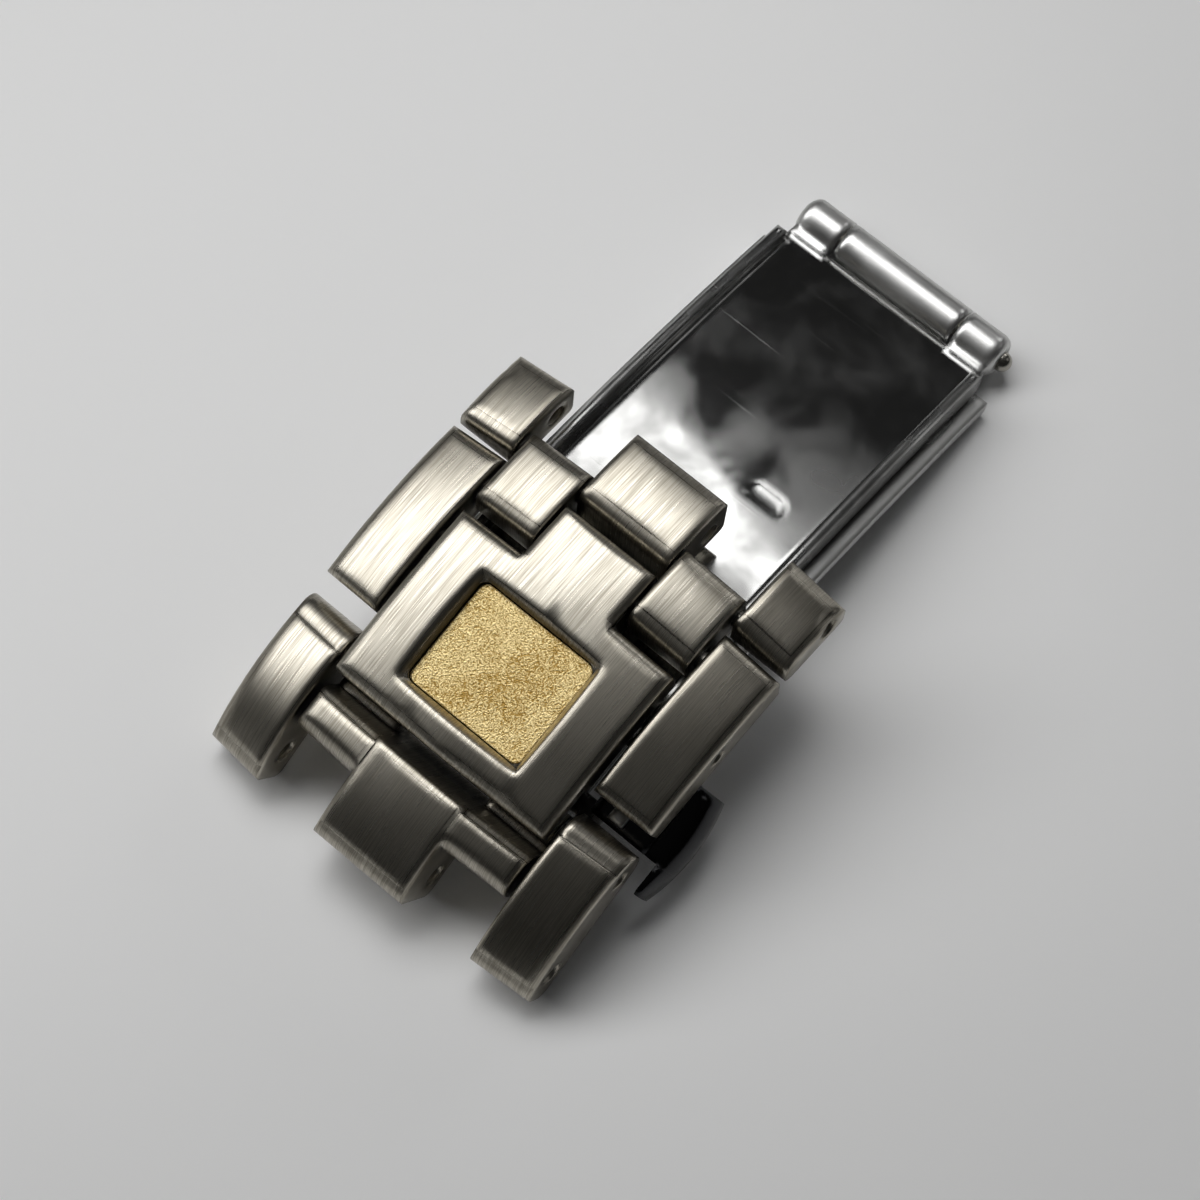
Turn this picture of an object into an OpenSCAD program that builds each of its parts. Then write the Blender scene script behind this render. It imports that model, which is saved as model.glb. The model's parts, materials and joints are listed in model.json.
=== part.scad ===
// Watch clasp with a link-styled cover, two folded leaves and a side pusher.
// Millimetres. The origin is the centre of the bare badge face on the cover.
// +X runs along the bracelet towards the leaf hinge, +Y towards the side without the pusher, +Z up.

/* [Columns across the bracelet] */
// Width over the outer links
clasp_w = 18; // [16:0.5:22]
// Width of the centre column
centre_w = 4.9; // [4:0.1:5.6]
// Width of each inner column
inner_w = 3.2; // [2.6:0.1:3.4]
// Gap between the centre and the inner columns
col_gap = 0.15; // [0.1:0.05:0.3]
// Gap between the inner and the outer columns
side_gap = 0.25; // [0.15:0.05:0.4]
// Radius of the crown across the bracelet
crown_r = 36; // [28:1:60]
// Rounding of the long edges
edge_r = 0.3; // [0.15:0.05:0.4]
// Rounding of the ends' lower edges
under_r = 0.3; // [0.15:0.05:0.5]

/* [Cover arch] */
// Radius of the arch at the crest of the cover
arch_r = 30; // [26:0.5:40]
// Tilt of the badge face from level
arch_tilt = 13.9; // [10:0.1:16]
// Depth of the badge face below the crest
badge_recess = 0.85; // [0.6:0.05:1]

/* [Cover plate] */
// Thickness of the cover plate
plate_t = 2; // [1.8:0.1:2.2]
// Length from the badge centre to the lower end, along the arch
plate_low = 4.4; // [4.2:0.1:5]
// Length from the badge centre to the side shoulders, along the arch
plate_shoulder = 4.5; // [4.2:0.1:4.6]
// Length from the badge centre to the tip of the centre tab, along the arch
plate_tab = 7.35; // [7.2:0.05:7.4]
// Extra thickness of the tab, where the row pin passes
tab_drop = 0.7; // [0.5:0.05:0.8]
// Gap between the plate and the side links
plate_gap = 0.3; // [0.2:0.05:0.4]
// Rounding of the plate's end edges
plate_round = 0.55; // [0.3:0.05:0.7]
// Relief under the lower end, over the end pin
plate_relief = 0.5; // [0.4:0.05:0.6]

/* [Badge] */
// Length of the badge along the bracelet
badge_l = 5.2; // [4.5:0.1:5.4]
// Width of the badge
badge_w = 6.1; // [5:0.1:6.6]
// Thickness of the badge
badge_t = 0.6; // [0.4:0.05:0.7]
// Width of the bevel round the badge recess
badge_bevel = 0.45; // [0.3:0.05:0.6]
// Corner radius of the badge
badge_corner = 0.4; // [0.3:0.05:0.6]

/* [Outer links of the cover] */
// Length from the badge centre to the lower end, along the arch
side_low = 1.4; // [1.2:0.05:1.6]
// Length from the badge centre to the upper end, along the arch
side_high = 7.6; // [7.4:0.05:7.7]
// Drop of the side links' crest below the plate's
side_drop = 0.35; // [0.2:0.05:0.5]
// Thickness of the side links
side_t = 3.35; // [3.1:0.05:3.5]
// Lengthwise dome radius of the side links
side_dome = 18; // [15:1:30]
// Rounding of the side links' lower ends
side_round = 0.5; // [0.3:0.05:0.7]

/* [Pins and bores] */
// Diameter of the pins inside the links
pin_d = 0.8; // [0.7:0.05:0.85]
// Radial clearance of a link or a leaf on its pin
pin_fit = 0.03; // [0.02:0.01:0.05]
// Diameter of the free bores for the next bracelet pins
bore_d = 1.05; // [0.9:0.05:1.1]
// Height of the upper row's pins above the underside of its links
row_pin_h = 1; // [0.9:0.05:1.1]

/* [Carriers under the cover] */
// Width of each carrier
carrier_w = 1.2; // [0.8:0.1:1.6]
// Cross pin of the side links, from the badge centre along the arch
cross_s = 3.2; // [2.8:0.1:3.5]

/* [Upper row of links] */
// First row pin, from the badge centre along the arch
pin_one = 6.15; // [6.05:0.05:6.3]
// Second row pin, from the badge centre along the arch
pin_two = 8.7; // [8.6:0.05:8.8]
// Free bore, from the badge centre along the arch
free_bore = 11; // [10.8:0.05:11.2]
// Inner link beyond the first pin
inner_end_one = 0.95; // [0.85:0.05:1]
// Inner link beyond the second pin
inner_end_two = 0.6; // [0.55:0.05:0.8]
// Short link before the second pin
short_end_two = 0.7; // [0.65:0.05:0.75]
// Short link beyond the free bore
short_end_free = 1.15; // [1.05:0.05:1.4]
// Thickness of the links of the upper row
row_t = 2.8; // [2.6:0.05:2.9]
// Drop of the upper row's crest below the cover's
row_drop = 0.15; // [0.1:0.05:0.2]
// Lengthwise dome radius of the short links
row_dome = 11; // [9:0.5:16]
// Rounding of the links' end edges
row_round = 0.6; // [0.4:0.05:0.7]

/* [Lower row of links] */
// Angle of the end pin on the arch, below the badge
end_pin_angle = 21.4; // [21:0.1:22]
// Depth of the end pin below the crest of the cover
end_pin_depth = 2.75; // [2.7:0.05:2.8]
// Slope of the lower row
end_slope = 29.4; // [28:0.2:31]
// Distance from the end pin to the free bore
end_pitch = 5; // [4.8:0.05:5.2]
// Height of the row's crest above its pins
end_crest = 2.75; // [2.6:0.05:2.9]
// Depth of the row's underside below its pins
end_under = 1.2; // [1.1:0.05:1.3]
// Centre link beyond the free bore
centre_tip = 1.3; // [1.2:0.05:1.6]
// Outer end links beyond the free bore
side_tip = 1.5; // [1.2:0.05:1.7]
// Rounding of the upper edge of the tips
tip_round = 0.8; // [0.5:0.05:0.9]
// Rounding of the lower edge of the tips
tip_under = 0.5; // [0.3:0.05:0.7]
// Rounding of the outer end links' upper edge above the end pin
end_top_round = 0.9; // [0.6:0.05:1]
// Outer end links beyond the end pin
end_round = 1.25; // [1.2:0.05:1.3]
// Distance from the end pin to the upper face of the centre end link
end_face = 1.15; // [1.1:0.05:1.3]
// Length of the side stubs of the centre end link
stub_l = 2.15; // [1.8:0.05:2.4]
// Lengthwise dome radius of the lower row
end_dome = 11; // [9:0.5:16]
// Radius of the knuckles on the end pin
end_knuckle = 0.8; // [0.7:0.05:0.8]

/* [Leaves] */
// Half width of the upper leaf over its rails
leaf_half = 5.85; // [5.5:0.05:6]
// Width of each rail
rail_w = 0.52; // [0.4:0.02:0.6]
// Height of the rails above the leaf's floor
rail_h = 1.1; // [0.9:0.05:1.3]
// Thickness of the upper leaf's floor
floor_t = 0.5; // [0.4:0.05:0.6]
// Gap between the links of the upper row and the rails
rail_gap = 0.15; // [0.1:0.05:0.3]
// Gap between the two leaves
leaf_gap = 0.3; // [0.2:0.05:0.4]
// Thickness of the lower leaf
lower_t = 0.7; // [0.6:0.05:0.8]
// Half width of the lower leaf
lower_half = 6.5; // [6.2:0.05:6.8]
// Angle on the arch where the leaves become flatter
flat_start = 5; // [4:0.5:7]
// Step all round where the leaves go over into their thinner curved part
leaf_step = 0.04; // [0.03:0.01:0.06]
// Radius of the flatter part, at the rail tops
flat_r = 100; // [80:5:140]
// Length of the flatter part, to the leaf hinge, at the rail tops
flat_l = 18.65; // [16:0.25:22]
// Depth of the hinge axis below the rail tops
hinge_depth = 1.15; // [1:0.05:1.3]
// Radius of the hinge knuckles
hinge_r = 1.05; // [0.95:0.05:1.1]
// Half length of the centre barrel
barrel_half = 3.3; // [2.8:0.1:3.6]
// Length of each outer knuckle
knuckle_l = 2.25; // [1.8:0.05:2.4]
// Rounding of the outer knuckles' ends
knuckle_round = 0.5; // [0.3:0.05:0.55]
// Diameter of the hinge pin
hinge_pin_d = 0.95; // [0.8:0.05:1]
// Length of the pin's head beyond the knuckle
head_l = 0.5; // [0.3:0.05:0.7]

/* [Pusher] */
// Length of the thumb piece along the cover
thumb_l = 5.3; // [4.6:0.1:5.6]
// Middle of the thumb piece, from the badge centre along the arch
thumb_mid = -1.15; // [-1.3:0.05:-0.9]
// Height of the thumb piece
thumb_h = 1.9; // [1.6:0.1:2]
// Reach of the thumb piece beyond the outer links
thumb_out = 1.3; // [1.2:0.05:1.6]
// Gap between the thumb piece and the outer links
thumb_gap = 0.55; // [0.52:0.01:0.6]
// Reach of the thumb piece's upper half under the side link
thumb_root = 0.8; // [0.6:0.05:0.9]
// Radius of the thumb piece's outer curve
thumb_r = 9; // [7:0.5:14]
// Travel of the pusher
push_travel = 0.5; // [0.3:0.05:0.5]
// Middle of the pusher's stem, from the badge centre along the arch
stem_mid = -0.35; // [-0.5:0.05:0]
// Width of the pusher's stem
stem_w = 2; // [1.6:0.1:2.4]
// Height of the pusher's stem
stem_h = 0.7; // [0.6:0.05:0.7]
// Width of the ledge on the lower leaf that the hook catches
ledge_w = 0.35; // [0.3:0.05:0.45]
// Thickness of the hook
hook_t = 0.3; // [0.25:0.05:0.35]

/* [Hidden] */
$fn = 96;
eps = 0.01;

// Columns
c_half = centre_w / 2;
i_in = c_half + col_gap;
i_out = i_in + inner_w;
o_in = i_out + side_gap;
o_out = clasp_w / 2;
plate_half = o_in - plate_gap;

// Arch centre, seen from the badge
badge_r = arch_r - badge_recess;
arch_x = badge_r * sin(arch_tilt);
arch_z = -badge_r * cos(arch_tilt);

// Angle on the arch of a length along its crest
function ang(s) = -arch_tilt + s / arch_r * 180 / PI;
// Drop of the crown at a distance from the middle
function drop(y) = crown_r - sqrt(crown_r * crown_r - y * y);
// Drop of a lengthwise dome at a distance from its middle
function sag(r, u) = r - sqrt(r * r - u * u);
// Slope of the crown at a distance from the middle
function slope(y) = asin(y / crown_r);

plate_bot = arch_r - plate_t;
tab_bot = plate_bot - tab_drop;
side_crest = arch_r - side_drop;
side_bot = side_crest - side_t;
row_crest = arch_r - row_drop;
row_bot = row_crest - row_t;
row_pin_r = row_bot + row_pin_h;
end_pin_r = arch_r - end_pin_depth;
rail_top = row_bot - rail_gap;
floor_top = rail_top - rail_h;
floor_bot = floor_top - floor_t;
lower_top = floor_bot - leaf_gap;
lower_bot = lower_top - lower_t;
link_bore = pin_d / 2 + pin_fit;

// Flatter part of the leaves, which leaves the arch without a bend
flat_shift = flat_r - rail_top;
flat_x = arch_x - flat_shift * sin(flat_start);
flat_z = arch_z - flat_shift * cos(flat_start);
hinge_angle = flat_start + flat_l / flat_r * 180 / PI;
knuckle_end = barrel_half + 0.15 + knuckle_l;
joined = flat_start + 0.3 / rail_top * 180 / PI;
hinge_axis_r = flat_r - hinge_depth;
rail_end_angle = hinge_angle - (hinge_r + 0.95) / flat_r * 180 / PI;

// Middle of the side links
side_mid = (ang(-side_low) + ang(side_high)) / 2;

// Cross pin of the side links
cross_r = plate_bot - pin_d / 2 - 0.1;

// Pusher levels
thumb_top = side_bot - 0.3;
stem_top = thumb_top - 0.1;
stem_bot = stem_top - stem_h;
slot_in = lower_half - ledge_w - hook_t - push_travel - 0.25;
hook_in = lower_half - ledge_w - hook_t - 0.1;
narrow_half = hook_in - push_travel - 0.15;
narrow_end = ang(stem_mid + stem_w / 2 + 2);
root_in = o_out - thumb_root;
carrier_out = narrow_half - 0.15;
carrier_bot = floor_top - leaf_step;

// Placement helpers
module arch(a) {
    translate([arch_x, 0, arch_z]) rotate([0, a, 0]) children();
}

module flat(a) {
    translate([flat_x, 0, flat_z]) rotate([0, a, 0]) children();
}

module end_row() {
    arch(-end_pin_angle)
        translate([0, 0, end_pin_r])
            rotate([0, end_pin_angle - end_slope, 0])
                children();
}

// A bar along Y from y0 to y1 with an outline drawn in X and Z
module bar(y0, y1) {
    translate([0, y1, 0]) rotate([90, 0, 0]) linear_extrude(height = y1 - y0) children();
}

// A round rod along Y
module rod(r, y0, y1) {
    translate([0, y1, 0]) rotate([90, 0, 0]) cylinder(r = r, h = y1 - y0);
}

// A ring about the local Y axis, from a section drawn in radius and Y
module turned() {
    rotate([-90, 0, 0]) rotate_extrude() children();
}

// The corner that a rounding takes away, its point at the origin, inside towards -X and -Y
module corner(r) {
    difference() {
        translate([-r, -r]) square(r + 1);
        translate([-r, -r]) circle(r);
    }
}

// Section of a crowned column in radius and Y, with rounded long edges
module crowned(r_in, r_top, y0, y1, e) {
    difference() {
        intersection() {
            translate([r_in, y0]) square([r_top - r_in, y1 - y0]);
            translate([r_top - crown_r, 0]) circle(r = crown_r, $fn = 360);
        }
        translate([r_top - drop(y1), y1]) corner(e);
        translate([r_top - drop(y0), y0]) mirror([0, 1]) corner(e);
    }
}

// Rounding bar across a column at an end, tilted to follow the crown
module end_round_bar(u, z, side, y0, y1, r) {
    ym = (y0 + y1) / 2;
    translate([u, ym, z - drop(ym)])
        rotate([-slope(ym), 0, 0])
            bar(y0 - ym - 1, y1 - ym + 1)
                mirror([side < 0 ? 1 : 0, 0])
                    corner(r);
}

// A link blank between u0 and u1: crowned across, domed along, flat below.
// r0 and r1 round the upper edges of its ends, b0 and b1 the lower ones.
module blank(u0, u1, z_bot, z_crest, dome, y0, y1, r0, r1, b0, b1, e = edge_r) {
    um = (u0 + u1) / 2;
    z_end = z_crest - sag(dome, (u1 - u0) / 2);
    difference() {
        intersection() {
            translate([um, 0, z_crest - dome])
                turned() crowned(eps, dome, y0, y1, e);
            bar(y0 - 1, y1 + 1)
                translate([u0, z_bot]) square([u1 - u0, z_crest - z_bot + 1]);
        }
        end_round_bar(u1, z_end, 1, y0, y1, r1);
        end_round_bar(u0, z_end, -1, y0, y1, r0);
        translate([u1, 0, z_bot]) bar(y0 - 1, y1 + 1) mirror([0, 1]) corner(b1);
        translate([u0, 0, z_bot]) bar(y0 - 1, y1 + 1) mirror([1, 0]) mirror([0, 1]) corner(b0);
    }
}

// Mirrors a left-hand piece to the right
module right() {
    mirror([0, 1, 0]) children();
}

// A sector of the arch between two angles and two radii, drawn in X and Z
module sector(a0, a1, r0, r1) {
    intersection() {
        difference() {
            circle(r = r1, $fn = 360);
            circle(r = r0, $fn = 360);
        }
        polygon([
            [0, 0],
            [2 * r1 * sin(a0), 2 * r1 * cos(a0)],
            [2 * r1 * sin(a1), 2 * r1 * cos(a1)]
        ]);
    }
}

module cover_plate() {
    a_low = ang(-plate_low);
    a_sh = ang(plate_shoulder);
    a_tab = ang(plate_tab);
    color("silver")
    difference() {
        union() {
            intersection() {
                arch(0) turned() crowned(plate_bot, arch_r, -plate_half, plate_half, edge_r);
                arch(0) bar(-plate_half - 1, plate_half + 1) sector(a_low, a_sh, plate_bot, arch_r);
            }
            intersection() {
                arch(0) turned() crowned(tab_bot, arch_r, -c_half, c_half, edge_r);
                arch(0) bar(-c_half - 1, c_half + 1)
                    sector(ang(cross_s + pin_d / 2 + 0.2), a_tab, tab_bot, arch_r);
            }
        }
        // rounded lower edge, following the crown on both sides
        for (s = [-1, 1])
            arch(a_low) translate([0, 0, arch_r])
                rotate([-s * slope(plate_half / 2), 0, 0])
                    bar(s > 0 ? 0 : -plate_half - 1, s > 0 ? plate_half + 1 : 0)
                        mirror([1, 0]) corner(plate_round);
        // rounded shoulders beside the tab
        for (s = [-1, 1])
            arch(a_sh) translate([0, s * (c_half + 0.01), arch_r - drop(c_half)])
                rotate([-s * slope((c_half + plate_half) / 2), 0, 0])
                    bar(s > 0 ? 0 : -plate_half, s > 0 ? plate_half : 0)
                        corner(plate_round);
        // rounded tip of the tab
        arch(a_tab) translate([0, 0, arch_r]) bar(-c_half - 1, c_half + 1) corner(plate_round);
        // badge recess with a bevelled rim
        badge_hole();
        // relief over the end pin's knuckles
        arch(0) bar(-plate_half - 1, plate_half + 1)
            sector(a_low - 2, -end_pin_angle + 4.2, plate_bot - 1, plate_bot + plate_relief);
        // bore of the first row pin
        arch(ang(pin_one)) translate([0, 0, row_pin_r]) rod(pin_d / 2, -c_half - 1, c_half + 1);
    }
}

// Outline of the badge with round corners
module badge_outline(g) {
    l = badge_l / 2 + g;
    w = badge_w / 2 + g;
    c = badge_corner + g;
    union() {
        square([2 * l, 2 * (w - c)], center = true);
        square([2 * (l - c), 2 * w], center = true);
        for (x = [-1, 1])
            for (y = [-1, 1])
                translate([x * (l - c), y * (w - c)]) circle(c);
    }
}

// Recess of the badge and its bevelled rim
module badge_hole() {
    rim = badge_recess + 1;
    rotate([0, -arch_tilt, 0]) {
        translate([0, 0, -badge_t]) linear_extrude(height = badge_t + 3) badge_outline(0.05);
        // bevel: two crossing wedges
        intersection() {
            bar(-badge_w, badge_w) polygon([
                [-badge_l / 2 - 0.05, 0.25], [badge_l / 2 + 0.05, 0.25],
                [badge_l / 2 + 0.05 + badge_bevel * rim / 0.6, 0.25 + rim],
                [-badge_l / 2 - 0.05 - badge_bevel * rim / 0.6, 0.25 + rim]
            ]);
            rotate([0, 0, 90]) bar(-badge_l, badge_l) polygon([
                [-badge_w / 2 - 0.05, 0.25], [badge_w / 2 + 0.05, 0.25],
                [badge_w / 2 + 0.05 + badge_bevel * rim / 0.6, 0.25 + rim],
                [-badge_w / 2 - 0.05 - badge_bevel * rim / 0.6, 0.25 + rim]
            ]);
        }
    }
}

module badge() {
    color("gold")
    rotate([0, -arch_tilt, 0])
        translate([0, 0, -badge_t]) linear_extrude(height = badge_t) badge_outline(0);
}

// Outer link of the cover, on the left, with ends square to the arch
module side_link() {
    a0 = ang(-side_low);
    a1 = ang(side_high);
    h = side_crest * sin((a1 - a0) / 2) + 0.6;
    c = side_crest - side_dome;
    d = (a1 - a0) / 2;
    r_end = c * cos(d) + sqrt(side_dome * side_dome - c * c * sin(d) * sin(d));
    difference() {
        arch(side_mid) blank(-h, h, side_bot, side_crest, side_dome, o_in, o_out, eps, eps, eps, eps);
        arch(a0) translate([-5, o_in - 1, side_bot - 2]) cube([5, o_out - o_in + 2, side_t + 4]);
        arch(a1) translate([0, o_in - 1, side_bot - 2]) cube([5, o_out - o_in + 2, side_t + 4]);
        arch(a0) end_round_bar(0, r_end, -1, o_in, o_out, side_round);
        arch(a1) end_round_bar(0, r_end, 1, o_in, o_out, row_round);
        arch(ang(cross_s)) translate([0, 0, cross_r]) rod(pin_d / 2, o_in - 1, o_out + 1);
        arch(ang(pin_one)) translate([0, 0, row_pin_r]) rod(pin_d / 2, o_in - 1, pin_one_end);
    }
}

pin_one_end = o_in + (o_out - o_in) * 0.4;
pin_two_end = o_in + (o_out - o_in) * 0.45;

module side_link_left() {
    color("silver") side_link();
}

module side_link_right() {
    color("silver") right() side_link();
}

// Bar that carries the plate on the upper leaf, on the left
module carrier() {
    a0 = -end_pin_angle + 5.4;
    a1 = ang(plate_shoulder) - 0.3;
    difference() {
        arch(0) bar(carrier_out - carrier_w, carrier_out) sector(a0, a1, carrier_bot, plate_bot);
        arch(ang(cross_s)) translate([0, 0, cross_r])
            rod(pin_d / 2, carrier_out - carrier_w - 1, carrier_out + 1);
    }
}

module carrier_left() {
    color("gainsboro") carrier();
}

module carrier_right() {
    color("gainsboro") right() carrier();
}

module cross_pin() {
    color("silver")
    arch(ang(cross_s)) translate([0, 0, cross_r]) rod(pin_d / 2, -o_out + 0.35, o_out - 0.35);
}

module row_pin_one() {
    color("silver")
    arch(ang(pin_one)) translate([0, 0, row_pin_r]) rod(pin_d / 2, -pin_one_end, pin_one_end);
}

// Section of the upper leaf in radius and Y, drawn in by g all round
module leaf_section(shift, g) {
    r0 = floor_bot + shift;
    w = rail_w / 2 - g;
    union() {
        translate([r0 + g, -leaf_half + g]) square([floor_t - 2 * g, 2 * (leaf_half - g)]);
        for (s = [-1, 1])
            translate([r0, s * (leaf_half - rail_w / 2)]) {
                translate([g, -w]) square([floor_t + rail_h - rail_w / 2 - g, 2 * w]);
                translate([floor_t + rail_h - rail_w / 2, 0]) circle(w);
            }
    }
}

module upper_leaf() {
    a0 = -end_pin_angle + 5.2;
    color("lightgray")
    difference() {
        union() {
            // part under the cover, narrow beside the pusher's hook
            arch(0) bar(-narrow_half, narrow_half)
                sector(a0, narrow_end + 0.5, floor_bot + leaf_step, carrier_bot);
            intersection() {
                arch(0) turned() leaf_section(0, leaf_step);
                arch(0) bar(-leaf_half - 1, leaf_half + 1)
                    sector(narrow_end, joined, floor_bot - 1, rail_top + 1);
            }
            // flatter part with rails
            intersection() {
                flat(0) turned() leaf_section(flat_shift, 0);
                flat(0) bar(-leaf_half - 1, leaf_half + 1)
                    sector(flat_start, rail_end_angle, floor_bot + flat_shift - 1, flat_r + 1);
            }
            // floor that runs on into the outer knuckles
            flat(0) bar(-knuckle_end + 0.12, knuckle_end - 0.12)
                sector(rail_end_angle - 0.1, hinge_angle - (hinge_r + 0.15) / flat_r * 180 / PI,
                    floor_bot + flat_shift, floor_top + flat_shift);
            flat(hinge_angle) translate([0, 0, hinge_axis_r]) {
                for (s = [-1, 1]) {
                    y0 = s > 0 ? knuckle_end - knuckle_l : -knuckle_end;
                    y1 = y0 + knuckle_l;
                    turned() difference() {
                        translate([eps, y0]) square([hinge_r - eps, knuckle_l]);
                        translate([hinge_r, s > 0 ? y1 : y0])
                            mirror([0, s > 0 ? 0 : 1]) corner(knuckle_round);
                    }
                    bar(y0 + (s > 0 ? 0.06 : 0.2), y1 - (s > 0 ? 0.2 : 0.06))
                        translate([-hinge_r - 0.4, -0.35]) square([hinge_r + 0.4, 0.6]);
                }
            }
        }
        // bore of the hinge pin
        flat(hinge_angle) translate([0, 0, hinge_axis_r]) rod(hinge_pin_d / 2, -leaf_half - 1, leaf_half + 1);
        // rounded rail ends
        for (s = [-1, 1])
            flat(rail_end_angle)
                translate([0, s * (leaf_half - rail_w / 2), flat_r])
                    bar(-rail_w, rail_w) corner(0.7);
        // shallow half-round pressing in the floor
        flat(flat_start + 4.8 / flat_r * 180 / PI)
            translate([0, -2.6, floor_top + flat_shift - 0.08])
                intersection() {
                    cylinder(r = 1, h = 1);
                    translate([0, -2, -1]) cube([0.75, 4, 3]);
                }
    }
}

module hinge_pin() {
    end_y = knuckle_end;
    color("silver")
    flat(hinge_angle) translate([0, 0, hinge_axis_r]) {
        rod(hinge_pin_d / 2, -end_y - head_l + 0.45, end_y - 0.1);
        translate([0, -end_y - head_l + 0.45, 0]) sphere(hinge_pin_d / 2);
    }
}

module lower_leaf() {
    a0 = -end_pin_angle + 1.3;
    color("darkgray")
    difference() {
        union() {
            arch(0) bar(-lower_half + leaf_step, lower_half - leaf_step)
                sector(a0, joined, lower_bot + leaf_step, lower_top - leaf_step);
            flat(0) bar(-lower_half, lower_half)
                sector(flat_start, rail_end_angle + 0.1, lower_bot + flat_shift, lower_top + flat_shift);
            flat(0) bar(-barrel_half + 0.1, barrel_half - 0.1)
                sector(rail_end_angle - 1, hinge_angle, lower_bot + flat_shift + 0.2, lower_top + flat_shift);
            flat(hinge_angle) translate([0, 0, hinge_axis_r]) rod(hinge_r, -barrel_half, barrel_half);
            // neck and knuckle at the end pin
            arch(-end_pin_angle) translate([0, 0, end_pin_r]) rod(end_knuckle, -c_half + 0.1, c_half - 0.1);
            arch(0) bar(-c_half + 0.1, c_half - 0.1)
                sector(-end_pin_angle + 0.1, -end_pin_angle + 1.65, lower_bot + leaf_step, end_pin_r);
        }
        // ends of the sheet with round corners beyond the neck
        flat(hinge_angle) translate([0, 0, hinge_axis_r]) rod(hinge_pin_d / 2 + pin_fit, -barrel_half - 1, barrel_half + 1);
        arch(-end_pin_angle) translate([0, 0, end_pin_r]) rod(pin_d / 2, -c_half - 1, c_half + 1);
        // slot beside the ledge that the hook catches
        arch(ang(stem_mid))
            translate([-stem_w / 2 - 0.3, -lower_half + ledge_w, lower_bot - 1])
                cube([stem_w + 0.6, lower_half - ledge_w - slot_in, lower_t + 2]);
    }
}

module end_pin() {
    color("silver")
    arch(-end_pin_angle) translate([0, 0, end_pin_r]) rod(pin_d / 2, -o_out + 0.5, o_out - 0.5);
}

// Outer end link, on the left
module end_link() {
    difference() {
        end_row()
            intersection() {
                blank(-end_pitch - side_tip, end_round, -end_under, end_crest, end_dome,
                    o_in, o_out, tip_round, end_top_round, tip_under, under_r);
                // full round end about the end pin
                bar(o_in - 1, o_out + 1) union() {
                    circle(r = end_round);
                    translate([-end_pitch - side_tip - 1, -end_under - 1])
                        square([end_pitch + side_tip + 1, end_under + end_crest + 2]);
                    translate([-1, -end_under]) square([1, end_under + end_crest]);
                    translate([0, 0]) square([end_round, end_crest]);
                }
            }
        end_row() rod(link_bore, o_in - 1, o_out + 1);
        end_row() translate([-end_pitch, 0, 0]) rod(bore_d / 2, o_in - 1, o_out + 1);
    }
}

module end_link_left() {
    color("silver") end_link();
}

module end_link_right() {
    color("silver") right() end_link();
}

// Centre end link with its two side stubs and the knuckles on the end pin
module end_link_centre() {
    color("silver")
    difference() {
        end_row() union() {
            blank(-end_pitch - centre_tip, -end_face, -end_under, end_crest, end_dome,
                -c_half, c_half, tip_round, edge_r, tip_under, under_r);
            for (s = [-1, 1])
                mirror([0, s < 0 ? 1 : 0, 0]) {
                    difference() {
                        intersection() {
                            translate([(-end_pitch - centre_tip - end_face) / 2, 0, end_crest - end_dome])
                                turned() crowned(eps, end_dome, c_half - 0.5, i_out, edge_r);
                            bar(c_half - 0.1, i_out)
                                translate([-end_face - stub_l, -end_under])
                                    square([stub_l, end_under + end_crest]);
                        }
                        end_round_bar(-end_face - stub_l, end_crest - 0.1, -1, c_half - 0.2, i_out, 1.1);
                        end_round_bar(-end_face, end_crest - 0.55, 1, c_half - 0.2, i_out, 0.25);
                    }
                    rod(end_knuckle, c_half + 0.05, i_out - 0.05);
                    bar(c_half + 0.05, i_out - 0.05)
                        translate([-end_face - 0.2, -end_knuckle]) square([end_face + 0.2, end_knuckle + 0.2]);
                }
        }
        end_row() rod(link_bore, -i_out - 1, i_out + 1);
        end_row() translate([-end_pitch, 0, 0]) rod(bore_d / 2, -c_half - 1, c_half + 1);
    }
}

// Inner link of the upper row, on the left
module inner_link() {
    a1 = ang(pin_one);
    a2 = ang(pin_two);
    am = (a1 + a2) / 2;
    h = row_pin_r * sin((a2 - a1) / 2);
    difference() {
        arch(am) blank(-h - inner_end_one, h + inner_end_two, row_bot, row_crest, row_dome,
            i_in, i_out, row_round, row_round, inner_end_one - 0.05, under_r, edge_r / 2);
        arch(a1) translate([0, 0, row_pin_r]) rod(link_bore, i_in - 1, i_out + 1);
        arch(a2) translate([0, 0, row_pin_r]) rod(pin_d / 2, i_in - 1, i_out + 1);
    }
}

module inner_link_left() {
    color("silver") inner_link();
}

module inner_link_right() {
    color("silver") right() inner_link();
}

module row_pin_two() {
    color("silver")
    arch(ang(pin_two)) translate([0, 0, row_pin_r]) rod(pin_d / 2, -pin_two_end, pin_two_end);
}

// Short link between the second pin and the free bore, in the column y0 to y1
module short_link(y0, y1, e) {
    a2 = ang(pin_two);
    a3 = ang(free_bore);
    am = (a2 + a3) / 2;
    h = row_pin_r * sin((a3 - a2) / 2);
    difference() {
        arch(am) blank(-h - short_end_two, h + short_end_free, row_bot, row_crest, row_dome,
            y0, y1, row_round, row_round, short_end_two - 0.05, under_r, e);
        arch(a3) translate([0, 0, row_pin_r]) rod(bore_d / 2, y0 - 1, y1 + 1);
    }
}

module short_link_centre() {
    color("silver")
    difference() {
        short_link(-c_half, c_half, edge_r / 2);
        arch(ang(pin_two)) translate([0, 0, row_pin_r]) rod(link_bore, -c_half - 1, c_half + 1);
    }
}

module outer_short() {
    difference() {
        short_link(o_in, o_out, edge_r);
        arch(ang(pin_two)) translate([0, 0, row_pin_r]) rod(link_bore, o_in - 1, pin_two_end + 0.1);
    }
}

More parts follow.
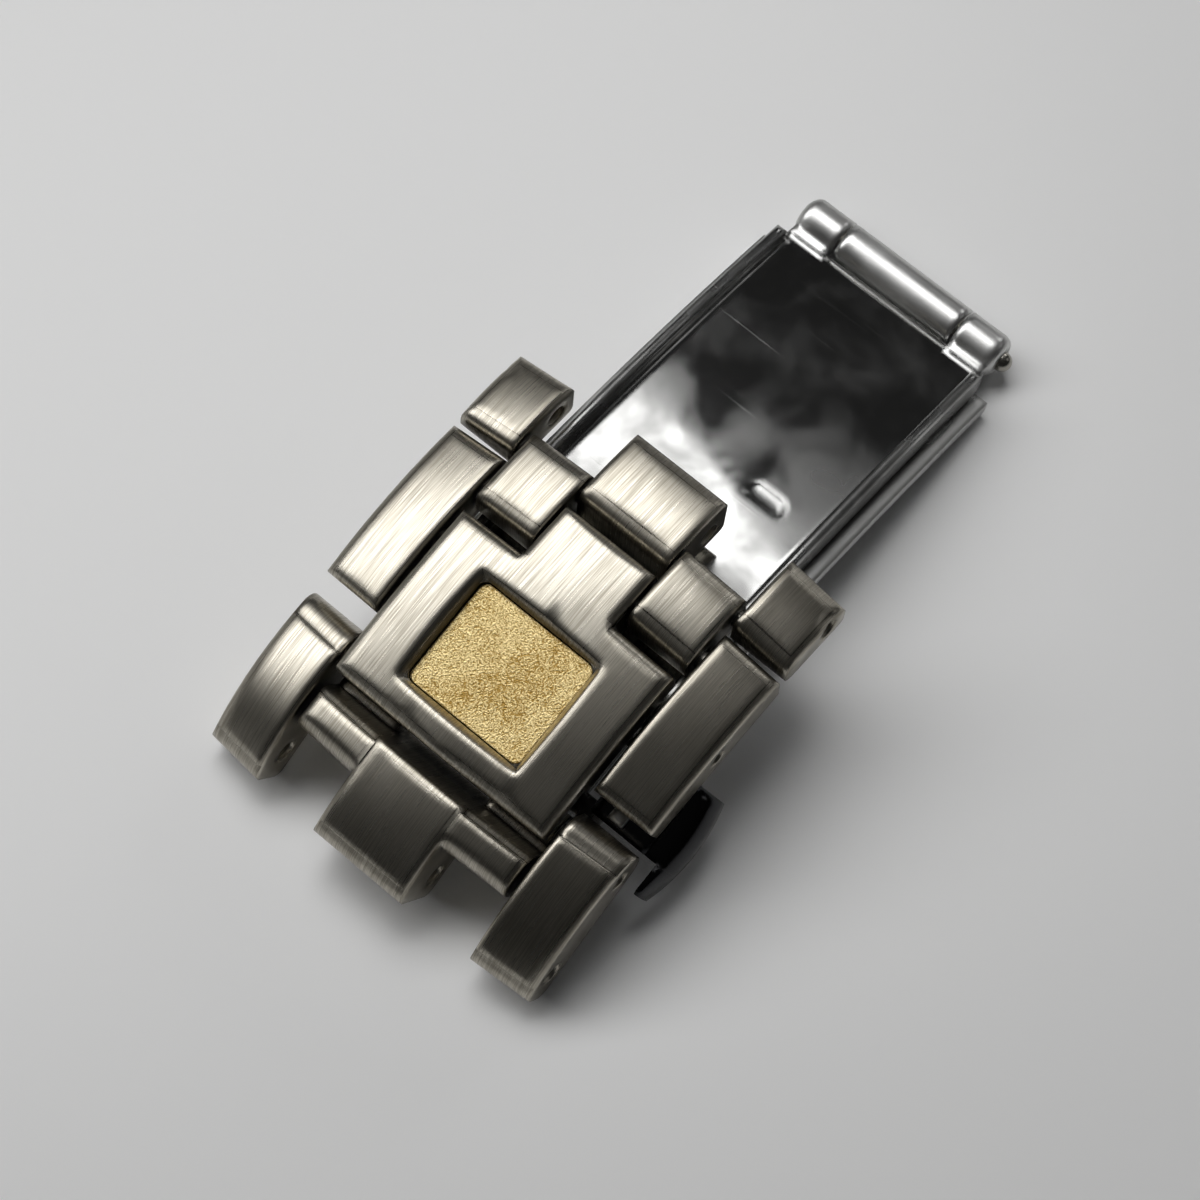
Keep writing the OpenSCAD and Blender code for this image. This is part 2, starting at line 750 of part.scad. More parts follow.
module short_link_left() {
    color("silver") outer_short();
}

module short_link_right() {
    color("silver") right() outer_short();
}

// Bracket under the right side link that guides the pusher's stem
module pusher_guide() {
    y0 = o_in + 0.75;
    y1 = root_in - push_travel - 0.15;
    wall = 0.5;
    color("gray")
    right() difference() {
        arch(ang(stem_mid)) translate([-stem_w / 2 - wall - 0.05, y0, stem_bot - wall - 0.05])
            cube([stem_w + 2 * wall + 0.1, y1 - y0, side_bot - stem_bot + wall + 1]);
        arch(ang(stem_mid)) translate([-stem_w / 2 - 0.05, y0 - 1, stem_bot - 0.05])
            cube([stem_w + 0.1, y1 - y0 + 2, stem_h + 0.1]);
        // flat underside of the side link
        arch(side_mid) translate([-10, y0 - 1, side_bot]) cube([20, y1 - y0 + 2, 3]);
    }
}

// Thumb piece, stem and hook
module pusher() {
    y_out = o_out + thumb_out;
    y_in = o_out + thumb_gap;
    color("dimgray")
    right() {
        arch(ang(thumb_mid)) difference() {
            union() {
                intersection() {
                    bar(y_in, y_out)
                        translate([-thumb_l / 2, thumb_top - thumb_h]) square([thumb_l, thumb_h]);
                    translate([0, y_out - thumb_r, thumb_top - thumb_h])
                        cylinder(r = thumb_r, h = thumb_h);
                }
                // upper half, which reaches under the side link
                bar(root_in, y_in + 0.2)
                    translate([stem_mid - thumb_mid - stem_w / 2, thumb_top - thumb_h])
                        square([thumb_l / 2 - stem_mid + thumb_mid + stem_w / 2, thumb_h]);
            }
            // bevelled upper end and lower end
            translate([thumb_l / 2, 0, thumb_top]) rotate([0, 45, 0])
                translate([-0.25, root_in - 1, -0.25]) cube([0.5, y_out - root_in + 2, 0.5]);
            translate([-thumb_l / 2, 0, thumb_top - thumb_h]) rotate([0, 45, 0])
                translate([-0.2, y_in - 1, -0.2]) cube([0.4, y_out - y_in + 2, 0.4]);
        }
        arch(ang(stem_mid)) {
            translate([-stem_w / 2 + 0.1, hook_in, stem_bot])
                cube([stem_w - 0.2, root_in + 0.2 - hook_in, stem_h]);
            translate([-stem_w / 2, hook_in, lower_bot - 0.1 - hook_t])
                cube([stem_w, hook_t, stem_bot - lower_bot + 0.2 + hook_t]);
            translate([-stem_w / 2, hook_in, lower_bot - 0.1 - hook_t])
                cube([stem_w, hook_t + 0.08, hook_t]);
        }
    }
}

cover_plate();
badge();
side_link_left();
side_link_right();
carrier_left();
carrier_right();
cross_pin();
row_pin_one();
upper_leaf();
hinge_pin();
pusher_guide();
inner_link_left();
inner_link_right();
row_pin_two();
short_link_centre();
short_link_left();
short_link_right();
lower_leaf();
end_pin();
end_link_centre();
end_link_left();
end_link_right();
pusher();
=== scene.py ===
# %% [markdown]
# # A folding watch clasp
# The object is the clasp of a steel watch bracelet: a satin cover plate with a gold badge, rows of satin
# links at both ends, two arched polished leaves on a far hinge, and a dark pusher on one side. Its shapes
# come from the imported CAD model. This lesson sets up the camera, gives each piece its finish, makes the
# curved thumb piece of the pusher and the sheet over its guide, and lights the whole.

# %% Load the frame
import bmesh, bpy, json, math
from mathutils import Vector, Matrix


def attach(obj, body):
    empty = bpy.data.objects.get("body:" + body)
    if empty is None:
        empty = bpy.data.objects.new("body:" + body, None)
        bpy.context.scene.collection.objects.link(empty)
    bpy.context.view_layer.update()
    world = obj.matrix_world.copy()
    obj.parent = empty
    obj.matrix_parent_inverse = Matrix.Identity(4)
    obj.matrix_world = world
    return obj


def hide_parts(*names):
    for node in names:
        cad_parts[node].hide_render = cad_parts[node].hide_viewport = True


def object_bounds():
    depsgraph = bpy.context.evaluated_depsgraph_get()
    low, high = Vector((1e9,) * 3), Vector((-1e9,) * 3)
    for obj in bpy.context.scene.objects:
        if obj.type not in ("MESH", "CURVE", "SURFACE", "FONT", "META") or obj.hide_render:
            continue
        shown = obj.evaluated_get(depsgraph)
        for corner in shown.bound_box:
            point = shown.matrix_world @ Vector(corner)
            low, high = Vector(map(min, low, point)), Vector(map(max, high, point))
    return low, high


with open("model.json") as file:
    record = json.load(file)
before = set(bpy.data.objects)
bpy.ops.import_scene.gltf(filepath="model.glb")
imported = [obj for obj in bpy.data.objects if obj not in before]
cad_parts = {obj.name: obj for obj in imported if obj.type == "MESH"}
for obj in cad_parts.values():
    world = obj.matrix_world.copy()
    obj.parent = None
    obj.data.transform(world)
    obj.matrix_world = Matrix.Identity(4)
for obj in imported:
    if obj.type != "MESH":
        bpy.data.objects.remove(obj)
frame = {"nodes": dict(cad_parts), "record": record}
CAD_BOX = [list(c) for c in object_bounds()]
NODES = frame["nodes"]
MM = 0.001


def in_mm(values):
    return [round(value / MM, 2) for value in values]


print("nodes:", len(NODES), "box in mm:", [in_mm(corner) for corner in CAD_BOX])

# %% [markdown]
# ## The camera
# The photograph looks down at a steep angle, with the bracelet running from the lower left to the upper
# right. A camera could be placed by eye, but small parts need better: the viewing direction, the distance
# and the lens were fitted to points that can be named on the object, such as the corners of the badge and
# the ends of the hinge. A metre at the clasp covers PIXELS_PER_M pixels of the photograph, which gives
# the lens. The camera is placed along its own three axes. Right and up in the picture, laid flat on the
# table, are used again for the lights.

# %% Place the camera
TURN, HEIGHT = math.radians(49.40), math.radians(69.0)
AIM_RIGHT, AIM_UP, DISTANCE = 0.004101, 0.003032, 0.1365
PIXELS_PER_M, FRAME_PX, SENSOR_MM = 24130.0, 1200.0, 36.0
CLIP_NEAR, CLIP_FAR = 0.01, 10.0
PICTURE_RIGHT = Vector((math.cos(TURN), -math.sin(TURN), 0))
PICTURE_UP = Vector((math.sin(TURN), math.cos(TURN), 0))
UPRIGHT = Vector((0, 0, 1))


def place_camera():
    up = PICTURE_UP * math.sin(HEIGHT) + UPRIGHT * math.cos(HEIGHT)
    back = PICTURE_RIGHT.cross(up)
    data = bpy.data.cameras.new("photo_camera")
    data.sensor_width = SENSOR_MM
    data.lens = SENSOR_MM * PIXELS_PER_M * DISTANCE / FRAME_PX
    data.clip_start, data.clip_end = CLIP_NEAR, CLIP_FAR
    data.dof.use_dof = False
    camera = bpy.data.objects.new("photo_camera", data)
    bpy.context.scene.collection.objects.link(camera)
    axes = Matrix((PICTURE_RIGHT, up, back)).transposed().to_4x4()
    place = PICTURE_RIGHT * AIM_RIGHT + up * AIM_UP + back * DISTANCE
    camera.matrix_world = Matrix.Translation(place) @ axes
    bpy.context.scene.camera = camera
    print("lens in mm:", round(data.lens, 2), "place in mm:", in_mm(place))


place_camera()

# %% [markdown]
# ## Helpers for node trees
# Every finish here is a node tree. Drawing the trees by hand in the shader editor gives the same result,
# but a script can be read and repeated. A few small helpers keep it short. One makes a node and sets its
# inputs, one makes an empty group with named sockets, and one places a group in a material. The others do
# sums with values and vectors, taking plain numbers as well as the sockets of other nodes. Nearly all
# values of a noise lie between NOISE_LOW and NOISE_HIGH, so those are the ends of a range that should
# follow the whole noise.

# %% Helpers: nodes and groups
def set_inputs(made, values):
    for name, value in values.items():
        made.inputs[name.replace("_", " ")].default_value = value
    return made


def node(tree, kind, **inputs):
    return set_inputs(tree.nodes.new(kind), inputs)


def new_group(name, inputs, outputs):
    tree = bpy.data.node_groups.new(name, "ShaderNodeTree")
    for label, value in inputs.items():
        socket = tree.interface.new_socket(label, in_out="INPUT", socket_type="NodeSocketFloat")
        socket.default_value = value
    for label, kind in outputs.items():
        tree.interface.new_socket(label, in_out="OUTPUT", socket_type=kind)
    print("group:", name, "puts out:", list(outputs))
    return tree, tree.nodes.new("NodeGroupInput"), tree.nodes.new("NodeGroupOutput")


def place_group(tree, group, **inputs):
    made = tree.nodes.new("ShaderNodeGroup")
    made.node_tree = group
    return set_inputs(made, inputs)


print("helpers for nodes and groups are ready")

# %% Helpers: sums, noise and ranges
NOISE_LOW, NOISE_MIDDLE, NOISE_HIGH = 0.3, 0.5, 0.7


def calculate(tree, kind, operation, values):
    made = tree.nodes.new(kind)
    made.operation = operation
    for slot, value in enumerate(values):
        if isinstance(value, bpy.types.NodeSocket):
            tree.links.new(value, made.inputs[slot])
        else:
            made.inputs[slot].default_value = value
    return made


def math_node(tree, operation, *values):
    return calculate(tree, "ShaderNodeMath", operation, values).outputs[0]


def vector_math(tree, operation, *values):
    return calculate(tree, "ShaderNodeVectorMath", operation, values)


def weigh(tree, first, second, share_of_first):
    return math_node(tree, "ADD", math_node(tree, "MULTIPLY", first, share_of_first),
                     math_node(tree, "MULTIPLY", second, 1 - share_of_first))


def map_range(tree, value, low, high, to_low, to_high):
    made = node(tree, "ShaderNodeMapRange", From_Min=low, From_Max=high, To_Min=to_low, To_Max=to_high)
    tree.links.new(value, made.inputs["Value"])
    return made.outputs[0]


def object_place(tree):
    return tree.nodes.new("ShaderNodeTexCoord").outputs["Object"]


def noise(tree, place, **inputs):
    made = node(tree, "ShaderNodeTexNoise", **inputs)
    tree.links.new(place, made.inputs["Vector"])
    return made


print("helpers for sums, noise and ranges are ready")

# %% [markdown]
# ## Brushing
# A satin link is drawn over a belt, which leaves fine parallel lines. Real lines are a few hundredths of
# a millimetre wide and a few millimetres long. A noise texture whose coordinates are stretched along the
# brushing gives such lines without any image. Two sizes of noise are mixed, so that some lines look
# deeper, and a third, slower one makes the shade drift a little, as it does on a link worn on a wrist.

# %% Group: brushed lines
FINE_SHARE = 0.8
COARSE_SCALE = 0.4
DRIFT_PER_M = 450.0


def make_brushed_lines():
    tree, group_in, group_out = new_group(
        "brushed lines",
        {"Across per m": 22000.0, "Along per m": 420.0, "Depth": 1.0},
        {"Lines": "NodeSocketFloat", "Drift": "NodeSocketFloat"})
    link = tree.links.new
    place = object_place(tree)
    density = tree.nodes.new("ShaderNodeCombineXYZ")
    for axis, label in (("X", "Along per m"), ("Y", "Across per m"), ("Z", "Along per m")):
        link(group_in.outputs[label], density.inputs[axis])
    stretched = vector_math(tree, "MULTIPLY", place, density.outputs[0]).outputs["Vector"]
    fine = noise(tree, stretched, Scale=1.0, Detail=2.0, Roughness=0.5)
    coarse = noise(tree, stretched, Scale=COARSE_SCALE, Detail=1.0, Roughness=0.5)
    drift = noise(tree, place, Scale=DRIFT_PER_M, Detail=2.0, Roughness=0.5)
    both = weigh(tree, fine.outputs["Fac"], coarse.outputs["Fac"], FINE_SHARE)
    centred = math_node(tree, "SUBTRACT", both, NOISE_MIDDLE)
    deep = math_node(tree, "MULTIPLY", centred, group_in.outputs["Depth"])
    link(math_node(tree, "ADD", deep, NOISE_MIDDLE), group_out.inputs["Lines"])
    link(drift.outputs["Fac"], group_out.inputs["Drift"])
    return tree


brushed_lines = make_brushed_lines()

# %% [markdown]
# ## Soft edges
# The long edges of a link are broken by hand, so a thin line of light runs along each. The CAD model has
# its main roundings. The Bevel node rounds what is left over in the shading alone. Where its normal
# leaves the surface's own normal there is an edge, and that difference is the mask for the wear.

# %% Group: worn edges
EDGE_GAIN = 8.0
EDGE_SAMPLES = 16


def make_worn_edges():
    tree, group_in, group_out = new_group(
        "worn edges", {"Radius": 0.08 * MM}, {"Mask": "NodeSocketFloat", "Normal": "NodeSocketVector"})
    link = tree.links.new
    rounded = tree.nodes.new("ShaderNodeBevel")
    rounded.samples = EDGE_SAMPLES
    link(group_in.outputs["Radius"], rounded.inputs["Radius"])
    plain = tree.nodes.new("ShaderNodeNewGeometry")
    agreement = vector_math(tree, "DOT_PRODUCT", rounded.outputs[0], plain.outputs["Normal"])
    difference = math_node(tree, "SUBTRACT", 1.0, agreement.outputs["Value"])
    clamp = tree.nodes.new("ShaderNodeClamp")
    link(math_node(tree, "MULTIPLY", difference, EDGE_GAIN), clamp.inputs["Value"])
    link(clamp.outputs[0], group_out.inputs["Mask"])
    link(rounded.outputs[0], group_out.inputs["Normal"])
    return tree


worn_edges = make_worn_edges()

# %% [markdown]
# ## What all the metals share
# Each finish starts from a Principled shader that is fully metallic, and ends by feeding it a colour, a
# roughness and a normal. Colours are mixed by a mask, and a Bump node adds fine relief to the softened
# normal of the worn edges. These steps are the same for all, so they are helpers too.

# %% Helpers: metal
def new_metal(name):
    material = bpy.data.materials.new(name)
    material.use_nodes = True
    tree = material.node_tree
    shader = tree.nodes["Principled BSDF"]
    shader.inputs["Metallic"].default_value = 1.0
    return material, tree, shader


def mix_colour(tree, mask, low, high):
    mix = tree.nodes.new("ShaderNodeMix")
    mix.data_type = "RGBA"
    tree.links.new(mask, mix.inputs["Factor"])
    for label, colour in (("A", low), ("B", high)):
        if isinstance(colour, bpy.types.NodeSocket):
            tree.links.new(colour, mix.inputs[label])
        else:
            mix.inputs[label].default_value = (*colour, 1)
    return mix.outputs["Result"]


def add_relief(tree, height, normal, strength, depth):
    bump = node(tree, "ShaderNodeBump", Strength=strength, Distance=depth)
    tree.links.new(height, bump.inputs["Height"])
    tree.links.new(normal, bump.inputs["Normal"])
    return bump.outputs[0]


def feed_shader(material, shader, colour, roughness, normal):
    tree = material.node_tree
    for label, value in (("Base Color", colour), ("Roughness", roughness), ("Normal", normal)):
        tree.links.new(value, shader.inputs[label])
    print("material:", material.name, "nodes:", len(tree.nodes))
    return material


print("helpers for metal are ready")

# %% [markdown]
# ## Satin steel
# The links and the cover are bare stainless steel, warm grey, with the brushing along the bracelet. The
# lines change the colour and the roughness and tilt the surface a little, and the worn edges are
# smoother. Between the links and in the open bores, shade is painted into the colour. The Ambient
# Occlusion node finds those places, since it is 1 in the open and falls towards 0 where surfaces close in,
# and the colour goes dark there.

# %% Material: satin steel
SATIN_DARK, SATIN_LIGHT = (0.33, 0.305, 0.252), (0.575, 0.54, 0.466)
SATIN_ROUGHNESS, SATIN_SWING, SATIN_LINE_DEPTH = 0.31, 0.05, 1.15
LINE_SHARE = 0.8
SHADE_LOW, SHADE_HIGH = 0.38, 0.62
NARROW_EDGE, SOFT_EDGE, EDGE_POLISH = 0.08 * MM, 0.55 * MM, -0.1
BRUSH_STRENGTH, BRUSH_DEPTH = 0.3, 0.01 * MM
# painted shade: the dark colour for gaps and bores, how far it reaches, and where it is full or gone
PAINTED_SHADE, PAINTED_SHADE_REACH = (0.05, 0.046, 0.04), 0.6 * MM
PAINTED_SHADE_FULL, PAINTED_SHADE_NONE, PAINTED_SHADE_SAMPLES = 0.35, 0.8, 4


# mask for the painted shade: 1 in the open, falling towards 0 in gaps and bores
def unshaded_places(tree):
    open_air = node(tree, "ShaderNodeAmbientOcclusion", Distance=PAINTED_SHADE_REACH)
    open_air.samples = PAINTED_SHADE_SAMPLES
    return map_range(tree, open_air.outputs["AO"], PAINTED_SHADE_FULL, PAINTED_SHADE_NONE, 0, 1)


def make_satin(name):
    material, tree, shader = new_metal(name)
    brushing = place_group(tree, brushed_lines, Depth=SATIN_LINE_DEPTH)
    worn = place_group(tree, worn_edges, Radius=NARROW_EDGE)
    soft = place_group(tree, worn_edges, Radius=SOFT_EDGE)
    lines = brushing.outputs["Lines"]
    shade = weigh(tree, lines, brushing.outputs["Drift"], LINE_SHARE)
    steel = mix_colour(tree, map_range(tree, shade, SHADE_LOW, SHADE_HIGH, 0, 1), SATIN_DARK, SATIN_LIGHT)
    # painted shade: the colour goes dark where surfaces close in
    colour = mix_colour(tree, unshaded_places(tree), PAINTED_SHADE, steel)
    brushed = map_range(tree, lines, NOISE_LOW, NOISE_HIGH,
                        SATIN_ROUGHNESS + SATIN_SWING, SATIN_ROUGHNESS - SATIN_SWING)
    smoother = math_node(tree, "MULTIPLY", worn.outputs["Mask"], EDGE_POLISH)
    roughness = math_node(tree, "ADD", brushed, smoother)
    normal = add_relief(tree, lines, soft.outputs["Normal"], BRUSH_STRENGTH, BRUSH_DEPTH)
    return feed_shader(material, shader, colour, roughness, normal)


satin_steel = make_satin("satin_steel")

# %% [markdown]
# ## Handling marks
# The leaves, the hinge, the pins and the pusher are polished. A mirror alone looks like glass in a
# render: what makes it steel is the wear of years, a haze of fine scratches in all directions and cloudy
# smears of handling. Both are one group. The smears are a slow noise. The scratches are three stretched
# noises, each turned another way and cut so high that only thin lines are left.

# %% Group: handled polish
SCRATCH_TURNS = (25, 70, 130)
SCRATCH_STRETCH = 0.03
SCRATCH_LOW, SCRATCH_HIGH = 0.70, 0.78


def scratches(tree, turn, density):
    stretch = (1, SCRATCH_STRETCH, 1)
    turned = node(tree, "ShaderNodeMapping", Rotation=(0, 0, math.radians(turn)), Scale=stretch)
    tree.links.new(object_place(tree), turned.inputs["Vector"])
    lines = noise(tree, turned.outputs[0], Detail=2.0, Roughness=0.8)
    tree.links.new(density, lines.inputs["Scale"])
    return map_range(tree, lines.outputs["Fac"], SCRATCH_LOW, SCRATCH_HIGH, 0, 1)


def make_handled_polish():
    tree, group_in, group_out = new_group(
        "handled polish",
        {"Smear per m": 260.0, "Scratch per m": 2500.0},
        {"Smear": "NodeSocketFloat", "Scratch": "NodeSocketFloat"})
    smear = noise(tree, object_place(tree), Detail=3.0, Roughness=0.5, Distortion=0.3)
    tree.links.new(group_in.outputs["Smear per m"], smear.inputs["Scale"])
    total = 0.0
    for turn in SCRATCH_TURNS:
        total = math_node(tree, "MAXIMUM", total, scratches(tree, turn, group_in.outputs["Scratch per m"]))
    tree.links.new(smear.outputs["Fac"], group_out.inputs["Smear"])
    tree.links.new(total, group_out.inputs["Scratch"])
    return tree


handled_polish = make_handled_polish()

# %% [markdown]
# ## Rubbed places and painted highlights
# The barrels of the hinge and the rails rub on the wrist and are duller, and the lower leaf's edge, which
# sticks out furthest, is the dullest. The places are found from the object's own coordinates: the barrels
# lie past a certain X, and the rails and the edge past a certain distance from the middle. Each place has
# its start, how far it fades to either side of that, and the roughness that it adds. On the barrels and
# the edge a highlight is also painted into the colour, which is made brighter there.

# %% Rubbed places and painted highlights
BARREL = (26.0 * MM, 0.2 * MM, 0.24)
RAIL = (5.3 * MM, 0.1 * MM, 0.12)
LEAF_EDGE = (6.0 * MM, 0.1 * MM, 0.3)


def rubbed_and_highlit_places(tree):
    axes = tree.nodes.new("ShaderNodeSeparateXYZ")
    tree.links.new(object_place(tree), axes.inputs[0])
    from_middle = math_node(tree, "ABSOLUTE", axes.outputs["Y"])
    masks = []
    duller = 0.0
    reaches = (axes.outputs["X"], from_middle, from_middle)
    for reach, (start, fade, added) in zip(reaches, (BARREL, RAIL, LEAF_EDGE)):
        mask = map_range(tree, reach, start - fade, start + fade, 0, 1)
        duller = math_node(tree, "MAXIMUM", duller, math_node(tree, "MULTIPLY", mask, added))
        masks.append(mask)
    barrel, _, leaf_edge = masks
    # the first value marks where a highlight is painted, the second is the roughness that rubbing adds
    return math_node(tree, "MAXIMUM", barrel, leaf_edge), duller


print("added roughness of barrel, rail and leaf edge:", [added for _, _, added in (BARREL, RAIL, LEAF_EDGE)])

# %% [markdown]
# ## Polished steel
# The same recipe serves the leaves, the pusher and the pins, each with its own colour, its own roughness
# where it is clean and where it is smeared, and its own share of brightness under a smear. Only the
# leaves have the duller places that rub and the painted highlights. The pusher and the pins lie past the
# same distances, and would come out dull and painted bright all over.

# %% Material: polished steel
HAZE_LOW, HAZE_HIGH = 0.36, 0.74
# painted highlight: how much brighter the colour is painted on the barrels and the leaf's edge
PAINTED_HIGHLIGHT_GAIN = 1.4
SCRATCH_ROUGHNESS = 0.1
SCRATCH_STRENGTH, SCRATCH_DEPTH = 0.08, 0.01 * MM
POLISHED_EDGE = 0.5 * MM


def make_polished(name, colour, clean, smeared, film, rubbed_and_highlit=False):
    material, tree, shader = new_metal(name)
    polish = place_group(tree, handled_polish)
    soft = place_group(tree, worn_edges, Radius=POLISHED_EDGE)
    smear, scratch = polish.outputs["Smear"], polish.outputs["Scratch"]
    filmed = tuple(channel * film for channel in colour)
    base = mix_colour(tree, map_range(tree, smear, NOISE_LOW, NOISE_HIGH, 1, 0), filmed, colour)
    haze = map_range(tree, smear, HAZE_LOW, HAZE_HIGH, clean, smeared)
    roughness = math_node(tree, "ADD", haze, math_node(tree, "MULTIPLY", scratch, SCRATCH_ROUGHNESS))
    if rubbed_and_highlit:
        bright, duller = rubbed_and_highlit_places(tree)
        # painted highlight: the colour is made brighter on the barrels and the leaf's edge
        base = mix_colour(tree, bright, base, tuple(channel * PAINTED_HIGHLIGHT_GAIN for channel in colour))
        roughness = math_node(tree, "ADD", roughness, duller)
    normal = add_relief(tree, scratch, soft.outputs["Normal"], SCRATCH_STRENGTH, SCRATCH_DEPTH)
    return feed_shader(material, shader, base, roughness, normal)


polished_steel = make_polished("polished_steel", (0.50, 0.50, 0.49), clean=0.07, smeared=0.32, film=0.35,
                               rubbed_and_highlit=True)
pusher_steel = make_polished("pusher_steel", (0.045, 0.045, 0.047), clean=0.08, smeared=0.16, film=0.8)
pin_steel = make_polished("pin_steel", (0.50, 0.48, 0.43), clean=0.2, smeared=0.32, film=0.8)

# %% [markdown]
# ## Grained gold
# The badge is a thin gold plate, stamped with a fine even grain that kills the mirror. Age has left it a
# little darker and redder in patches, most of all in the middle, with hairline cracks in them. The grain
# is a bump from a very fine noise. The patches and the cracks, which follow the borders of bent Voronoi
# cells, only change the colour. The plate stays bare.

# %% Masks: stains and cracks in the gold
PATCH_PER_M, CRACK_CELLS_PER_M, BEND_PER_M = 330.0, 1500.0, 2500.0
BEND_REACH = 0.6 * MM
MIDDLE_FULL, MIDDLE_END = 0.8 * MM, 2.4 * MM
STAIN_IN_MIDDLE, STAIN_OUTSIDE = 0.12, -0.02
STAIN_LOW, STAIN_HIGH = 0.50, 0.64
CRACK_WIDTH = 0.05


def stains(tree, place):
    from_middle = vector_math(tree, "LENGTH", place).outputs["Value"]
    middle = map_range(tree, from_middle, MIDDLE_FULL, MIDDLE_END, STAIN_IN_MIDDLE, STAIN_OUTSIDE)
    patch = noise(tree, place, Scale=PATCH_PER_M, Detail=4.0, Roughness=0.6)
    return map_range(tree, math_node(tree, "ADD", patch.outputs["Fac"], middle), STAIN_LOW, STAIN_HIGH, 0, 1)


def cracks(tree, place):
    wobble = noise(tree, place, Scale=BEND_PER_M, Detail=3.0)
    bent = vector_math(tree, "MULTIPLY_ADD", wobble.outputs["Color"], (BEND_REACH,) * 3, place)
    cells = node(tree, "ShaderNodeTexVoronoi", Scale=CRACK_CELLS_PER_M)
    cells.feature = "DISTANCE_TO_EDGE"
    tree.links.new(bent.outputs["Vector"], cells.inputs["Vector"])
    return map_range(tree, cells.outputs["Distance"], 0.0, CRACK_WIDTH, 1, 0)


print("stains fade out in mm from the middle:", in_mm((MIDDLE_FULL, MIDDLE_END)))

# %% Material: grained gold
GRAIN_PER_M, GRAIN_STRENGTH, GRAIN_DEPTH = 13000.0, 0.9, 0.04 * MM
GOLD_DARK, GOLD_LIGHT = (0.42, 0.26, 0.065), (0.96, 0.78, 0.40)
GOLD_LOW, GOLD_HIGH = 0.34, 0.60
GOLD_HOLLOW_ROUGHNESS, GOLD_TOP_ROUGHNESS = 0.50, 0.34
STAIN_DARKENS, CRACK_DARKENS = 0.07, 0.22
BADGE_EDGE = 0.1 * MM


def make_gold(name):
    material, tree, shader = new_metal(name)
    place = object_place(tree)
    grain = noise(tree, place, Scale=GRAIN_PER_M, Detail=2.0, Roughness=0.6).outputs["Fac"]
    stained = stains(tree, place)
    crack = math_node(tree, "MULTIPLY", cracks(tree, place), stained)
    shade = math_node(tree, "SUBTRACT", grain, math_node(tree, "MULTIPLY", stained, STAIN_DARKENS))
    shade = math_node(tree, "SUBTRACT", shade, math_node(tree, "MULTIPLY", crack, CRACK_DARKENS))
    colour = mix_colour(tree, map_range(tree, shade, GOLD_LOW, GOLD_HIGH, 0, 1), GOLD_DARK, GOLD_LIGHT)
    roughness = map_range(tree, grain, NOISE_LOW, NOISE_HIGH, GOLD_HOLLOW_ROUGHNESS, GOLD_TOP_ROUGHNESS)
    soft = place_group(tree, worn_edges, Radius=BADGE_EDGE)
    normal = add_relief(tree, grain, soft.outputs["Normal"], GRAIN_STRENGTH, GRAIN_DEPTH)
    return feed_shader(material, shader, colour, roughness, normal)


grained_gold = make_gold("grained_gold")

# %% [markdown]
# ## Dressing the pieces
# The CAD pieces have their right shapes, so each keeps its own mesh and only gets its finish. The record
# names a material slot for each piece, and one table turns slots into finishes.

# %% Give each piece its finish
FINISH = {"link_steel": satin_steel, "leaf_steel": polished_steel, "pin_steel": pin_steel,
          "pusher_steel": pusher_steel, "badge_gold": grained_gold}
for part in frame["record"]["subparts"]:
    mesh = NODES[part["node"]].data
    mesh.materials.clear()
    mesh.materials.append(FINISH[part["material_slot"]])

# %% [markdown]
# ## The pusher's thumb piece
# The CAD pusher has the right outline, travel and hook, but its outer wall is upright. On the real one
# the top rolls down to the outer edge in one polished curve, and its inner end is wider where it goes
# under the long link. A wall that leans can't be bevelled from an upright one, so the thumb piece is
# lofted: one section, a flat top that turns into a quarter ellipse, is repeated along the length. The
# outer edge follows an arc seen from above, so the section gets wider and narrower along the piece. The
# stem and the hook are cut from a copy of the CAD mesh and joined to it.

# %% The thumb piece's own axes
THUMB_TILT = math.radians(16.08)
THUMB_TOP = Vector((-0.205, 0, -3.315)) * MM
THUMB_ALONG = Vector((math.cos(THUMB_TILT), 0, math.sin(THUMB_TILT)))
THUMB_OUT = Vector((-math.sin(THUMB_TILT), 0, math.cos(THUMB_TILT)))


def thumb_point(along, across, above):
    return THUMB_TOP + (THUMB_ALONG * along + Vector((0, across, 0)) + THUMB_OUT * above) * MM


print("middle of the thumb piece's top in mm:", in_mm(THUMB_TOP))

# %% [markdown]
# The section's sizes are in millimetres along, across and above the tilted top. The stations run from the
# low tip, where the piece is narrow to clear the end link, to the high tip, where it is wide under the
# long link. Both tips drop a little. The arc of the outer edge is drawn about ARC_MIDDLE, and the roll takes
# its full width, or a share of the section where that is narrow.

# %% The thumb piece's section and stations
ARC_RADIUS, ARC_MIDDLE = 9.0, -1.3
ROLL_WIDTH, ROLL_SHARE, ROLL_STEPS = 1.3, 0.9, 8
ROLL_END, UNDERSIDE = -1.45, -1.9
CHAMFER_IN, CHAMFER_UP = 0.08, 0.1
FREE_SIDE, GUIDED_SIDE = -9.56, -8.2
LOW_TIP, FREE_FROM, FREE_TO, FREE_COUNT = -2.65, -2.45, -1.109, 10
GUIDED_FROM, GUIDED_TO, GUIDED_COUNT, HIGH_TIP = -1.08, 2.275, 23, 2.62
LOW_TIP_DROP, HIGH_TIP_DROP = -0.2, -0.3


